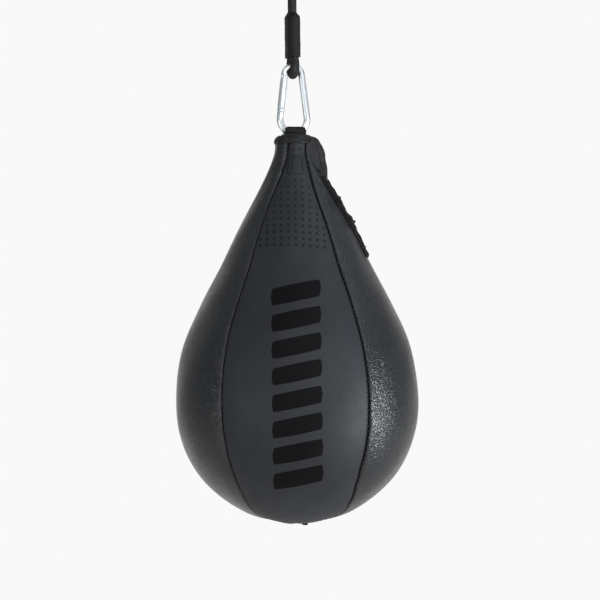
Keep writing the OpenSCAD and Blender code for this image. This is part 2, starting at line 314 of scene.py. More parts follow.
def woven(name, dark, light, rough=0.75, pitch=2.6, strands=8, streaks=0.0):
    """Braided cord from the attributes along and around, both in millimetres and turns."""
    m, nodes, links, bsdf = new_mat(name)
    al = nodes.new("ShaderNodeAttribute")
    al.attribute_name = "along"
    ar = nodes.new("ShaderNodeAttribute")
    ar.attribute_name = "around"
    s = math_node(nodes, links, "MULTIPLY", al.outputs["Fac"], 2 * math.pi / pitch)
    c = math_node(nodes, links, "MULTIPLY", ar.outputs["Fac"], 2 * math.pi * strands)
    w1 = math_node(nodes, links, "SINE", math_node(nodes, links, "ADD", s, c))
    w2 = math_node(nodes, links, "SINE", math_node(nodes, links, "SUBTRACT", s, c))
    braid = math_node(nodes, links, "MAXIMUM", w1, w2)
    co = coords(nodes)
    fz = noise(nodes, links, co, 1800, 4, 0.7)
    h = math_node(nodes, links, "ADD", math_node(nodes, links, "MULTIPLY", braid, 0.5), math_node(nodes, links, "MULTIPLY", fz, 0.6))
    b = nodes.new("ShaderNodeBump")
    b.inputs["Strength"].default_value = 0.7
    b.inputs["Distance"].default_value = 0.0004
    links.new(h, b.inputs["Height"])
    links.new(b.outputs["Normal"], bsdf.inputs["Normal"])
    # painted light and shade: the colour follows the braid's height, near-black in the dips between strands and paler
    # on the raised strands
    tone = math_node(nodes, links, "MULTIPLY", h, 0.8)
    if streaks:
        # paler streaks run along the cord, at random places round it
        lay = nodes.new("ShaderNodeCombineXYZ")
        links.new(math_node(nodes, links, "MULTIPLY", ar.outputs["Fac"], 9.0), lay.inputs[0])
        links.new(math_node(nodes, links, "MULTIPLY", al.outputs["Fac"], 0.09), lay.inputs[1])
        streak_noise = noise(nodes, links, lay.outputs[0], 1.6, 2)
        pale = nodes.new("ShaderNodeMapRange")
        pale.inputs["From Min"].default_value = 0.5
        pale.inputs["From Max"].default_value = 0.68
        pale.inputs["To Max"].default_value = streaks
        links.new(streak_noise, pale.inputs["Value"])
        tone = math_node(nodes, links, "ADD", tone, pale.outputs[0])
    links.new(ramp(nodes, links, tone, [(0.1, dark), (0.75, light), (1.0, tuple(2.6 * c for c in light))]), bsdf.inputs["Base Color"])
    r = nodes.new("ShaderNodeMapRange")
    r.inputs["To Min"].default_value = rough - 0.1
    r.inputs["To Max"].default_value = rough + 0.1
    links.new(fz, r.inputs["Value"])
    links.new(r.outputs[0], bsdf.inputs["Roughness"])
    bsdf.inputs["Specular IOR Level"].default_value = 0.3
    return m


M_side = leather("leather_side", (0.0092, 0.0101, 0.0114), (0.0143, 0.0157, 0.0178), 0.25, 0.35, grain=0.7, pebble=640, spec=0.42, painted_seam_shade=True, depth=0.00024)
M_front = leather("leather_front", (0.0142, 0.0156, 0.0192), (0.0218, 0.024, 0.0296), 0.5, 0.64, grain=0.28, pebble=1100, spec=0.3, painted_seam_shade=True)
M_trim = leather("leather_trim", (0.0048, 0.0048, 0.0054), (0.0095, 0.0095, 0.0106), 0.42, 0.58, grain=0.3, pebble=1000, spec=0.33)
M_facing = leather("leather_facing", (0.0016, 0.0016, 0.002), (0.0036, 0.0036, 0.0042), 0.5, 0.65, grain=0.35, pebble=1000, spec=0.13)
M_strap = leather("leather_strap", (0.003, 0.003, 0.0035), (0.0066, 0.0066, 0.0074), 0.5, 0.65, grain=0.3, pebble=1200, spec=0.2)
M_edge = leather("leather_edge", (0.003, 0.003, 0.003), (0.008, 0.008, 0.008), 0.55, 0.7, grain=0.3, pebble=1600, spec=0.25)
M_print = rubbery("print_gloss", (0.0012, 0.0012, 0.0015), (0.002, 0.002, 0.0025), 0.6, bump=0.2, scale=900, spec=0.1)
M_dot = rubbery("print_dot", (0.0062, 0.0064, 0.0076), (0.0084, 0.0088, 0.0102), 0.6, bump=0.15, scale=900, spec=0.15)
M_thread = rubbery("thread", (0.002, 0.002, 0.002), (0.006, 0.006, 0.006), 0.75, bump=0.5, scale=2500, spec=0.15)
# paler thread, used for the collar stitching and one stitch at the strap's end
M_thread_light = rubbery("thread_pale", (0.014, 0.014, 0.015), (0.032, 0.032, 0.034), 0.7, bump=0.5, scale=2500, spec=0.3)
M_cord = woven("cord_weave", (0.0022, 0.0022, 0.0022), (0.0175, 0.0168, 0.0178), streaks=0.55)
M_lace = woven("lace_weave", (0.003, 0.003, 0.003), (0.013, 0.013, 0.0135), pitch=2.0, strands=6)
M_sleeve = rubbery("sleeve_rubber", (0.0052, 0.0053, 0.0056), (0.0092, 0.0094, 0.0099), 0.6, bump=0.12, scale=700, spec=0.2)
M_zinc = metal("zinc_plate", (0.72, 0.75, 0.76), (0.86, 0.885, 0.89), 0.3, 0.42, scratch=0.06)
M_steel = metal("plain_steel", (0.35, 0.36, 0.37), (0.5, 0.51, 0.52), 0.25, 0.4)
M_lining = rubbery("lining_cotton", (0.1, 0.1, 0.095), (0.18, 0.18, 0.17), 0.85, bump=0.6, scale=1500, spec=0.2)
M_bladder = rubbery("bladder_latex", (0.03, 0.012, 0.008), (0.06, 0.025, 0.018), 0.5, bump=0.1, scale=300)


def paint(ob, *mats):
    ob.data.materials.clear()
    for m in mats:
        ob.data.materials.append(m)


def use_on_node(name, m):
    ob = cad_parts[name]
    for s in ob.material_slots:
        s.material = m
    if not ob.material_slots:
        ob.data.materials.append(m)


# ---------------------------------------------------------------- cord
def cord_route():
    """Centreline of the looped cord, in millimetres: (v, z) pairs from the upper tail to the lower tail."""
    low = [(0.0, -94.45), (0.0, -104.0), (0.0, -113.0), (-1.0, -116.0), (-2.5, -118.8), (-3.3, -122.0), (-3.3, -131.0), (-3.3, -139.5), (-4.3, -143.6), (-5.6, -146.8)]
    arc = [(6.05 * math.cos(a), -149.4 + 6.05 * math.sin(a)) for a in (math.radians(180 + x) for x in range(0, 181, 20))]
    back = [(5.6, -146.8), (4.3, -143.6), (3.3, -139.5), (3.3, -131.0), (3.3, -120.5)]
    lower = low + arc + back
    upper = [(v, -188.9 - z) for v, z in lower][::-1]
    return upper[:-1] + lower


route = cord_route()
flat = spline([(v, z, 0) for v, z in route], 0.45)
path = np.array([V * p[0] + np.array([0, 0, 1.0]) * p[1] for p in flat])
cv, cf = tube("cord", path, 3.22, around=40)
cord = mesh_object("woven_cord", cv, cf)
seg = np.r_[0, np.cumsum(np.linalg.norm(np.diff(path, axis=0), axis=1))]
along = np.repeat(seg, 40)
around = np.tile(np.arange(40) / 40.0, len(seg))
attribute(cord, "along", np.r_[along, seg[0], seg[-1]])
attribute(cord, "around", np.r_[around, 0, 0])
# raised strands of the braid
co = np.array([v.co[:] for v in cord.data.vertices]) / MM
ctr = np.vstack([np.repeat(path, 40, axis=0), path[0], path[-1]])
h = np.maximum(np.sin(along * 2 * math.pi / 2.6 + around * 2 * math.pi * 8), np.sin(along * 2 * math.pi / 2.6 - around * 2 * math.pi * 8))
d = co[: len(along)] - ctr[: len(along)]
co[: len(along)] = ctr[: len(along)] + d * (1 + 0.03 * h[:, None])
cord.data.vertices.foreach_set("co", (co * MM).astype(np.float32).ravel())
cord.data.update()
paint(cord, M_cord)
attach(cord, "cord_body")
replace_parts(cord, "cord")


def sleeve(name, flip):
    """Shrunk sleeve over the cord's two strands, tapering to the single cord."""
    zs = [-142.5, -142.7, -142.6, -141.6, -140.0] + list(np.linspace(-138, -117, 15)) + [-115.4, -114.2, -113.2, -112.4, -111.6, -110.9, -110.4, -110.0, -109.7, -109.6, -109.9]
    n = 72
    verts = []
    for k, z in enumerate(zs):
        if z < -113.4:
            a, c = 1.0, 3.3
        else:
            t = min(1.0, (z + 113.4) / 3.8)
            t = t * t * (3 - 2 * t)
            a, c = 1.0 - 0.27 * t ** 2, 3.3 * (1 - t)
        r = 5.15 * a
        if k == 0:
            r = 3.75
        if k == 1:
            r = 4.25
        if k == len(zs) - 1:
            r, c = 3.3, 0.0
        wob = 0.05 * math.sin(z * 1.7) + 0.04 * math.sin(z * 3.1 + 1)
        for i in range(n):
            th = 2 * math.pi * i / n
            cu, sv = math.cos(th), math.sin(th)
            pinch = 1 - 0.05 * math.exp(-((sv / 0.35) ** 2)) * (c / 3.3)
            rr = (r + wob) * (1 + 0.012 * math.sin(3 * th + z * 0.4))
            p = U * (rr * cu * pinch) + V * (rr * sv + c * math.tanh(3.2 * sv) / math.tanh(3.2))
            zz = z + (0.25 * math.sin(th * 2 + 0.7) if k < 3 else 0)
            if flip:
                zz = -188.9 - zz
            verts.append((p[0], p[1], zz))
    ob = mesh_object(name, verts, grid_faces(n, len(zs), wrap=True, flip=flip))
    paint(ob, M_sleeve)
    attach(ob, "cord_body")
    return ob


low_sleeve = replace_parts(sleeve("sleeve_lower", False), "lower_sleeve")
up_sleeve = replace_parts(sleeve("sleeve_upper", True), "upper_sleeve")
exit_point = path[0] * MM

# ---------------------------------------------------------------- bag shape
OUT = [(6.4, 14.0), (13, 14.6), (19, 16.6), (24.9, 18.9), (30.9, 21.4), (36.8, 24.2), (42.8, 27.2), (48.7, 30.4), (54.6, 33.7), (60.6, 37.1),
       (66.5, 40.4), (72.5, 43.7), (78.4, 46.7), (84.4, 49.7), (90.3, 52.5), (96.3, 55.3), (102.2, 58.4), (108.2, 61.6), (114.1, 64.9), (120.1, 68.0),
       (126, 71.0), (132, 73.8), (137.9, 76.7), (143.9, 79.4), (149.8, 81.8), (155.8, 83.8), (161.7, 85.5), (167.7, 86.8), (173.6, 87.9), (179.5, 88.8),
       (185.5, 89.4), (191.4, 89.8), (197.4, 90.0), (203.3, 89.9), (209.3, 89.5), (215.2, 88.8), (221.2, 87.6), (227.1, 86.0), (233.1, 84.0), (239, 81.5),
       (245, 78.4), (250.9, 74.6), (256.9, 69.8), (262.8, 63.9), (268.8, 56.8), (274.7, 48.4), (280.7, 37.9), (284.4, 29.0), (286.6, 21.3), (288.1, 13.3), (288.9, 0.0)]
OT = np.array([p[0] for p in OUT])
OR = np.array([p[1] for p in OUT])
# arc length along the outline, used as the row coordinate
OS = np.r_[0, np.cumsum(np.hypot(np.diff(OT), np.diff(OR)))]
S_END = OS[-1]


def t_of(s):
    return np.interp(s, OS, OT)


def r_of_t(t):
    return np.interp(t, OT, OR)


def outline(s):
    """Radius and depth at arc length s, smoothed over the table's corners."""
    w = 4.0
    k = np.array([-1.5, -1, -0.5, 0, 0.5, 1, 1.5]) * w
    g = np.exp(-((k / w) ** 2))
    g /= g.sum()
    s = np.asarray(s, float)
    r = np.zeros_like(s)
    t = np.zeros_like(s)
    for kk, gg in zip(k, g):
        q = s + kk
        over = q > S_END
        q2 = np.where(over, 2 * S_END - q, q)
        below = q2 < 0
        rr = np.interp(q2, OS, OR)
        tt = np.interp(q2, OS, OT)
        rr = np.where(over, -rr, rr)
        tt = np.where(below, OT[0] + q2, tt)
        r += gg * rr
        t += gg * tt
    return np.maximum(r, 0), t


def seam_az(k, t):
    """Direction of seam k at depth t, in degrees from the front towards +X."""
    base = [-37.3, 35.3, 107.0, 179.0, 251.0][k]
    t = np.asarray(t, float)
    if k == 0:
        base = base + np.interp(t, [6, 12, 24, 35, 43, 50], [19, 16.5, 10, 4.8, 1, 0])
        return base - np.interp(t, [250, 262, 270, 277, 284.4, 289], [0, 2, 6, 12, 27, 38])
    if k == 1:
        base = base + np.interp(t, [6, 26, 38, 52], [7.7, 3.2, 0.7, 0])
        return base + np.interp(t, [245, 258, 266, 273, 284.4, 289], [0, 2.5, 7, 12, 31, 40])
    return base + 0 * t


def skin_point(az, s, lift=0.0):
    """Point on the bag's outer surface, in millimetres. az in degrees, s arc length."""
    az = np.asarray(az, float)
    s = np.asarray(s, float)
    r, t = outline(s)
    r2, t2 = outline(s + 0.5)
    dr, dt = r2 - r, t2 - t
    ln = np.hypot(dr, dt) + 1e-9
    nr, nt = dt / ln, -dr / ln  # outward normal in (r, t)
    off = np.zeros_like(az + s)
    for k in range(5):
        sa = seam_az(k, t)
        dd = (az - sa + 180) % 360 - 180
        dist = np.abs(dd) * math.pi / 180 * np.maximum(r, 4)
        fade = np.interp(s, [0, 8], [0.6, 1.0])
        neck = np.interp(t, [0, 30, 60], [1.0, 0.7, 0.0])
        tight = 0.7 if k == 0 else 1.0
        off = off - fade * (0.85 * np.exp(-((dist / 8.5) ** 2)) + tight * (1.25 + 0.6 * neck) * np.exp(-((dist / (1.25 + 0.3 * neck)) ** 2)))
    a = np.radians(az)
    # the laced slit
    dslit = ((az - SLIT + 180) % 360 - 180) * math.pi / 180 * np.maximum(r, 4)
    win = 1 / (1 + np.exp((t - 91) / 0.8))
    off = off - 2.7 * np.exp(-((dslit / 2.3) ** 4)) * win
    # a rolled edge in front of the facing
    off = off + 0.55 * np.exp(-(((dslit + 12.0) / 1.3) ** 2)) / (1 + np.exp((t - 96) / 3.0)) / (1 + np.exp((22 - t) / 3.0))
    # the strap's end sewn under the front panel
    X = r * np.sin(a)
    box = 1 / (1 + np.exp((np.abs(X - 1.6) - 6.6) / 0.45))
    fold = 1 / (1 + np.exp(-(t - 17.2) / 0.3)) * 1 / (1 + np.exp((t - 31) / 1.6))
    off = off + np.where(np.cos(a) > 0, 0.75 * box * fold, 0)
    # slow unevenness of stuffed leather
    off = off + 0.25 * np.sin(3 * a + t * 0.03) * np.interp(t, [0, 60, 289], [0.2, 1, 0.3]) + 0.16 * np.sin(7 * a - t * 0.052 + 1.3) + 0.12 * np.sin(11 * a + t * 0.11)
    off = off + lift
    rr = r + off * nr
    tt = t + off * nt
    return np.stack([rr * np.sin(a), -rr * np.cos(a), SHOULDER - tt], axis=-1)


def panel(name, k0, k1, node, mat, nu=61, ns=None, slit=False):
    """One gore between seam k0 and seam k1, with its edges turned in at the seams."""
    ns = ns or (300)
    s = np.linspace(0, S_END - 0.05, ns)
    x = np.linspace(0, 1, nu)
    # closer columns near both seams
    x = 0.5 - 0.5 * np.cos(math.pi * x) * (0.72 + 0.28 * np.abs(np.cos(math.pi * x)))
    x = (x - x[0]) / (x[-1] - x[0])
    _, t = outline(s)
    a0, a1 = seam_az(k0, t), seam_az(k1, t)
    a1 = np.where(a1 < a0, a1 + 360, a1)
    az = a0[:, None] + (a1 - a0)[:, None] * x[None, :]
    ss = np.repeat(s[:, None], nu, axis=1)
    P = skin_point(az, ss)
    # turned-in edges: one more column each side, deeper
    r, _ = outline(s)
    e = 0.25 / np.maximum(r, 3) * 180 / math.pi
    left = skin_point((a0 - 0 * e)[:, None], s[:, None], lift=-2.0)
    right = skin_point((a1 + 0 * e)[:, None], s[:, None], lift=-2.0)
    P = np.concatenate([left, P, right], axis=1)
    n = P.shape[1]
    ob = mesh_object(name, P.reshape(-1, 3), grid_faces(n, ns, flip=True))
    # distance to the nearest seam, which sets the painted seam shade; at the left front seam it is scaled 1.9 times,
    # so the painted shade there is narrower than at the others
    d = np.minimum((az - a0[:, None]) * (1.9 if k0 == 0 else 1), (a1[:, None] - az) * (1.9 if k1 == 0 else 1)) * math.pi / 180 * np.maximum(r, 4)[:, None]
    d = np.concatenate([np.zeros((ns, 1)), d, np.zeros((ns, 1))], axis=1)
    attribute(ob, "from_seam", d.ravel())
    paint(ob, mat)
    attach(ob, "bag")
    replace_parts(ob, node)
    return ob


panels = [
    panel("gore_front", 0, 1, "panel_front", M_front),
    panel("gore_laced", 1, 2, "panel_laced", M_side),
    panel("gore_rear_right", 2, 3, "panel_rear_right", M_side),
    panel("gore_rear_left", 3, 4, "panel_rear_left", M_side),
    panel("gore_left", 4, 0, "panel_left", M_side),
]

# arc length at a given depth
_ss = np.linspace(0, S_END - 0.3, 900)
_tt = outline(_ss)[1]
_tt = np.maximum.accumulate(_tt)


def s_at(t):
    return np.interp(t, _tt, _ss)


def front_point(X, z, lift=0.0):
    """Point of the front skin seen at X, z (millimetres)."""
    t = SHOULDER - np.asarray(z, float)
    s = s_at(t)
    r = np.maximum(outline(s)[0], 1)
    az = np.degrees(np.arcsin(np.clip(np.asarray(X, float) / r, -1, 1)))
    return skin_point(az, s, lift)


def ride_bag(ob, slot_name, *nodes):
    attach(ob, "bag")
    if nodes:
        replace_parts(ob, *nodes)
    return ob


# ---------------------------------------------------------------- seam stitches
def stitch(p0, p1, up, r=0.4, rise=0.35, n=6, around=7):
    """One stitch: a short thread that dips into the leather at both ends."""
    q = np.linspace(0, 1, n)
    pts = [p0 + (p1 - p0) * x + up * (rise * (1 - (2 * x - 1) ** 2) - 0.25 * (abs(2 * x - 1) ** 4)) for x in q]
    rad = [r * (0.75 + 0.25 * math.sin(math.pi * x)) for x in q]
    return tube("", pts, rad, around=around)


def unit(v):
    return v / np.linalg.norm(v)


parts = []
for k in range(5):
    s = 9.0
    while s < S_END - 12:
        t = float(outline(np.array([s]))[1][0])
        r = max(float(outline(np.array([s]))[0][0]), 3)
        az = float(seam_az(k, t))
        hide = k == 0 or t < 62
        da = (0.8 if hide else 1.45) / r * 180 / math.pi
        mid = az - (0.0 if hide else 0.55 / r * 180 / math.pi)
        p0 = skin_point(np.array([mid - da]), np.array([s - 0.5]), -0.25 if hide else 0.12)[0]
        p1 = skin_point(np.array([mid + da]), np.array([s + 0.5]), -0.25 if hide else 0.12)[0]
        a = math.radians(az)
        up = unit(np.array([math.sin(a), -math.cos(a), 0.0]))
        parts.append(stitch(p0, p1, up, r=0.36 if hide else 0.55, rise=-0.35 if hide else -0.1))
        s += 3.9
v, f = merge(parts)
ob = mesh_object("seam_stitching", v, f)
paint(ob, M_thread)
ride_bag(ob, "thread", "seam_threads")

# ---------------------------------------------------------------- strap stitches, painted shade of the neck holes, and marks on the front
parts, light = [], []


def sewn_line(x0, z0, x1, z1, pitch=2.1, length=1.35, into=parts, r=0.34):
    n = max(1, int(round(math.hypot(x1 - x0, z1 - z0) / pitch)))
    for i in range(n):
        m = (i + 0.5) / n
        cx, cz = x0 + (x1 - x0) * m, z0 + (z1 - z0) * m
        d = np.array([x1 - x0, z1 - z0]) / math.hypot(x1 - x0, z1 - z0) * length / 2
        p0 = front_point(np.array([cx - d[0]]), np.array([cz - d[1]]), 0.08)[0]
        p1 = front_point(np.array([cx + d[0]]), np.array([cz + d[1]]), 0.08)[0]
        into.append(stitch(p0, p1, np.array([0.0, -1.0, 0.0]), r=r, rise=0.12))


sewn_line(-4.4, -218.5, -5.2, -229.6)
sewn_line(-1.2, -218.3, -1.4, -229.2)
sewn_line(5.6, -218.5, 6.6, -229.4)
sewn_line(-5.0, -230.4, 6.2, -230.4, pitch=1.9)
p0 = front_point(np.array([-0.9]), np.array([-230.6]), 0.3)[0]
p1 = front_point(np.array([0.9]), np.array([-230.4]), 0.3)[0]
light.append(stitch(p0, p1, np.array([0.0, -1.0, 0.0]), r=0.34, rise=0.25))
v, f = merge(parts)
ob = mesh_object("strap_stitching", v, f)
paint(ob, M_edge)
ride_bag(ob, "thread", "strap_stitches")
v, f = merge(light)
ob = mesh_object("strap_thread_end", v, f)
paint(ob, M_thread_light)
ride_bag(ob, "thread")


def patch(X0, X1, z0, z1, lift, n=4, shear=0.0, corner=0.0):
    """Thin print on the front skin; a small patch that follows it. shear lifts the right end by that much."""
    pts = []
    for j in range(n):
        for i in range(n):
            x, y = i / (n - 1) * 2 - 1, j / (n - 1) * 2 - 1
            if corner:
                m = max(abs(x), abs(y))
                q = math.hypot(x, y)
                if q > 0:
                    k = 1 - corner * max(0, (q / m - 1)) / 0.4142 if m else 1
                    x, y = x * k, y * k
            X = (X0 + X1) / 2 + x * (X1 - X0) / 2
            z = (z0 + z1) / 2 + y * (z1 - z0) / 2 + shear * x
            pts.append((X, z))
    pts = np.array(pts)
    P = front_point(pts[:, 0], pts[:, 1], lift)
    return list(P), grid_faces(n, n)


parts = []
row = 0
z = -100 - 0.7435 * 246.3
while z < -100 - 0.7435 * 172:
    q = (z + 283.1) / 55.0  # 0 at the lowest row, 1 at the top
    t = SHOULDER - z
    r = float(r_of_t(t))
    half = 0.5 * (2.15 - 0.75 * q)
    for k in range(-9, 10):
        X = 0.6 + 5.2 * k
        if abs(X) > r * 0.98:
            continue
        az = math.degrees(math.asin(X / r))
        if not (-37.3 + 3.0 / r * 57.3 < az < 35.3 - 3.0 / r * 57.3):
            continue
        if q > 0.86 and X < -3:
            continue
        dz = -2.3 * min(1.0, max(0.0, (X + 6) / 30)) ** 1.5
        parts.append(patch(X - half, X + half, z + dz - half, z + dz + half, 0.07, n=3, corner=0.18))
    z += 4.83
v, f = merge(parts)
ob = mesh_object("printed_dots", v, f)
paint(ob, M_dot)
ride_bag(ob, "front_leather")

parts = []
for k in range(8):
    zc = -308.5 - 9.0 - k * 18.75
    parts.append(patch(-17.6, 18.0, zc - 6.3, zc + 6.3, 0.07, n=15, shear=3.4, corner=0.06))
v, f = merge(parts)
ob = mesh_object("printed_bars", v, f)
paint(ob, M_print)
ride_bag(ob, "front_leather")

# painted shade: four flat discs in the dark print colour lie on the skin where small holes are; no hole is cut, and
# the discs stand in for the shade inside them
parts = []
for X, z in [(-3.6, -206.9), (4.6, -206.9), (0.1, -212.3), (4.6, -211.6)]:
    parts.append(patch(X - 0.95, X + 0.95, z - 0.95, z + 0.95, 0.12, n=5, corner=0.95))
v, f = merge(parts)
ob = mesh_object("neck_hole_shade_discs", v, f)
paint(ob, M_print)
ride_bag(ob, "thread")

# ---------------------------------------------------------------- hanging tab
leg = [(-5.6, -210.5), (-5.5, -206), (-5.4, -201.5), (-5.35, -198.6), (-5.2, -196.9), (-4.7, -195.7), (-3.7, -195.1), (-2.2, -195.0), (0.0, -195.0)]
line = spline([(a, b, 0) for a, b in leg] + [(-a, b, 0) for a, b in leg[-2::-1]], 0.35)[:, :2]
tan = np.gradient(line, axis=0)
tan /= np.linalg.norm(tan, axis=1)[:, None]
ring_n = 44
SWINGS = np.radians(np.linspace(-27, 27, 19))


def clear_of_bow(p):
    """Moves a point of the strap away from the hook's lower wire, wherever the bag swings about it."""
    u, v, h = float(p @ U), float(p @ V), float(p[2]) + 198.9
    x = min(abs(u), 9.6)
    lean = math.asin(x / 10.45)
    c = 10.45 - math.sqrt(10.45**2 - x * x)
    for _ in range(60):
        v1 = v * np.cos(SWINGS) - h * np.sin(SWINGS)
        h1 = v * np.sin(SWINGS) + h * np.cos(SWINGS)
        if np.min((v1 / 2.72) ** 2 + ((h1 - c) / (2.5 / math.cos(lean) + 0.22)) ** 2) >= 1:
            break
        g = 1 + 0.06 / max(math.hypot(v, h), 0.5)
        v, h = v * g, h * g
    return U * u + V * v + np.array([0, 0, h - 198.9])


verts = []
for k in range(len(line)):
    vv, zz = line[k]
    nv, nz = -tan[k][1], tan[k][0]
    inside = np.interp(abs(vv), [3.2, 4.6], [0, 1]) if zz > -197.5 else 1.0
    inside = inside * inside * (3 - 2 * inside)
    w = 4.5 + 3.5 * inside
    w += 0.12 * math.sin(zz * 1.3 + vv)
    for i in range(ring_n):
        th = 2 * math.pi * i / ring_n
        cx, sy = math.cos(th), math.sin(th)
        x = w * math.copysign(abs(cx) ** 0.22, cx)
        y = 0.9 * math.copysign(abs(sy) ** 0.55, sy)
        crown = 0.22 * (1 - (x / w) ** 2) + 0.12 * math.sin(x * 0.9 + zz * 0.5)
        y += crown * (0.6 if zz > -197 else 1.0) * (-1 if nv > 0 else -1)
        p = U * (x + 0.1 + 0.26 * max(0.0, vv)) + V * (vv + nv * y) + np.array([0, 0, 1.0]) * (zz + nz * y)
        if p[2] > -203.0:
            p = clear_of_bow(p)
        verts.append(p)
v = verts + [np.mean(verts[:ring_n], axis=0), np.mean(verts[-ring_n:], axis=0)]
f = grid_faces(ring_n, len(line), wrap=True)
c0, c1 = len(v) - 2, len(v) - 1
f += [(c0, i, (i + 1) % ring_n) for i in range(ring_n)]
b = (len(line) - 1) * ring_n
f += [(c1, b + (i + 1) % ring_n, b + i) for i in range(ring_n)]
tab = mesh_object("hanging_tab", v, f)
paint(tab, M_strap)
ride_bag(tab, "leather", "hang_tab")
parts = []
for side in (-1, 1):
    for x in (-6.9, 6.9):
        z = -196.6
        while z > -203:
            p0 = U * x + V * (side * 6.42) + np.array([0, 0, z])
            p1 = U * x + V * (side * 6.42) + np.array([0, 0, z - 1.2])
            parts.append(stitch(p0, p1, V * side, r=0.22, rise=0.12))
            z -= 2.0
v, f = merge(parts)
ob = mesh_object("tab_stitching", v, f)
paint(ob, M_thread)
ride_bag(ob, "thread", "tab_stitches")

# ---------------------------------------------------------------- collar
prof = spline([(0.01, -200.9, 0), (5, -200.85, 0), (8.5, -200.5, 0), (11.0, -200.35, 0), (12.7, -201.3, 0), (13.9, -203.1, 0), (14.75, -205.2, 0), (14.9, -206.4, 0), (14.35, -207.1, 0), (13.3, -206.9, 0)], 0.3)[:, :2]
na = 144
verts = []
for r, z in prof:
    for i in range(na):
        a = 2 * math.pi * i / na
        x, y = r * math.cos(a), r * math.sin(a)
        u, w = x * U[0] + y * U[1], x * V[0] + y * V[1]
        groove = 1 / (1 + math.exp((abs(w) - 4.7) / 0.25))
        zz = z
        if z > -202.2:
            zz = z * (1 - groove) + min(z, -202.15) * groove
        k = 0.18 * math.sin(5 * a + z) * (r / 15) + 0.22 * math.sin(2 * a + 0.4) * (r / 15)
        line_in = -0.28 * math.exp(-(((z + 205.0) / 0.28) ** 2)) if r > 13 else 0
        verts.append((x * (1 + (k + line_in) / 15), y * (1 + (k + line_in) / 15), zz))
ob = mesh_object("neck_collar", verts, grid_faces(na, len(prof), wrap=True, flip=True))
paint(ob, M_trim)
ride_bag(ob, "leather", "collar")
parts = []
n = 46
for i in range(n):
    a0, a1 = 2 * math.pi * (i + 0.12) / n, 2 * math.pi * (i + 0.78) / n
    p0 = np.array([14.72 * math.cos(a0), 14.72 * math.sin(a0), -205.05])
    p1 = np.array([14.72 * math.cos(a1), 14.72 * math.sin(a1), -205.05])
    parts.append(stitch(p0, p1, unit((p0 + p1) * np.array([1, 1, 0])), r=0.24, rise=0.16))
v, f = merge(parts)
ob = mesh_object("collar_stitching", v, f)
paint(ob, M_thread_light)
ride_bag(ob, "thread", "collar_stitches")

# ---------------------------------------------------------------- lacing
def slit_point(y, t, lift):
    """Skin point at y millimetres round from the slit (+ to the rear), depth t."""
    t = np.asarray(t, float)
    s = s_at(t)
    r = np.maximum(outline(s)[0], 4)
    return skin_point(SLIT + np.degrees(np.asarray(y, float) / r), s, lift)


def facing(name, side, node):
    nt, nq = 150, 21
    t = np.linspace(26.0, 92.5, nt)
    rows = np.array(ROWS)
    near = np.min(np.abs(t[:, None] - rows[None, :]), axis=1)
    if side > 0:
        H = np.interp(t, [20, 30, 37, 43, 49, 53, 60, 67, 71, 78, 86, 92.5], [3.0, 3.3, 4.2, 4.3, 3.3, 3.1, 3.4, 2.9, 2.9, 2.9, 2.6, 2.2])
    else:
        H = np.interp(t, [20, 40, 92], [2.6, 1.9, 1.5])
    H = H + 2.1 * np.exp(-(((t - 50.5) / 5.5) ** 2)) + 1.9 * np.exp(-(((t - 65.5) / 4.5) ** 2))
    H = H - 0.8 * np.exp(-((near / 2.2) ** 2)) + 0.2 * np.sin(t * 0.9 + side)
    end = np.clip(np.minimum((t - 26) / 4.0, (92.5 - t) / 3.0), 0, 1)
    H = H * np.sqrt(1 - (1 - end) ** 2 + 1e-6)
    q = np.linspace(0, 1, nq)
    prof = (1 - np.abs(2 * q - 1) ** 2.6) ** 0.55
    wid = 8.2 - 0.7 * np.exp(-((near / 3) ** 2))
    y = side * (2.3 + wid[:, None] * q[None, :])
    lift = H[:, None] * prof[None, :] - 0.5 * (1 - prof[None, :])
    T = np.repeat(t[:, None], nq, axis=1)
    lift = lift + 2.6 * np.exp(-((y / 2.3) ** 4))  # stand on the leather beside the slit
    P = slit_point(y, T, lift)
    ob = mesh_object(name, P.reshape(-1, 3), grid_faces(nq, nt, flip=side > 0))
    paint(ob, M_facing)
    return ride_bag(ob, "leather", node)


facing("lacing_facing_near", -1, "facing_front")
facing("lacing_facing_far", 1, "facing_rear")

pts = []
for i, t in enumerate(ROWS):
    if i:
        pts.append(slit_point(-6.8, t - 3.0, -1.2))
    h = [1.7, 4.2, 3.9, 1.4][i]
    g = [0.0, 1.8, 1.8, 0.0][i]
    pts.append(slit_point(-7.6, t - 0.4, -0.4))
    pts.append(slit_point(-7.2, t, 1.0 + g))
    pts.append(slit_point(-4.6, t + 0.2, 1.4 + g))
    pts.append(slit_point(-1.0, t + 0.3, 1.5 + g))
    pts.append(slit_point(2.4, t + 0.2, h))
    pts.append(slit_point(5.6, t, h + 0.15))
    pts.append(slit_point(7.9, t, h - 1.1))
    pts.append(slit_point(8.4, t + 0.4, -0.4))
    if i < len(ROWS) - 1:
        pts.append(slit_point(7.0, t + 3.0, -1.2))
        pts.append(slit_point(0, (t + ROWS[i + 1]) / 2, 0.4))
lp = spline([np.asarray(p, float).reshape(3) for p in pts], 0.5)
lv, lf = tube("lace", lp, 1.2, around=20)
ob = mesh_object("lace_cord", lv, lf)
sl = np.r_[0, np.cumsum(np.linalg.norm(np.diff(lp, axis=0), axis=1))]
attribute(ob, "along", np.r_[np.repeat(sl, 20), 0, sl[-1]])
attribute(ob, "around", np.r_[np.tile(np.arange(20) / 20.0, len(sl)), 0, 0])
paint(ob, M_lace)
ride_bag(ob, "lace", "lace")

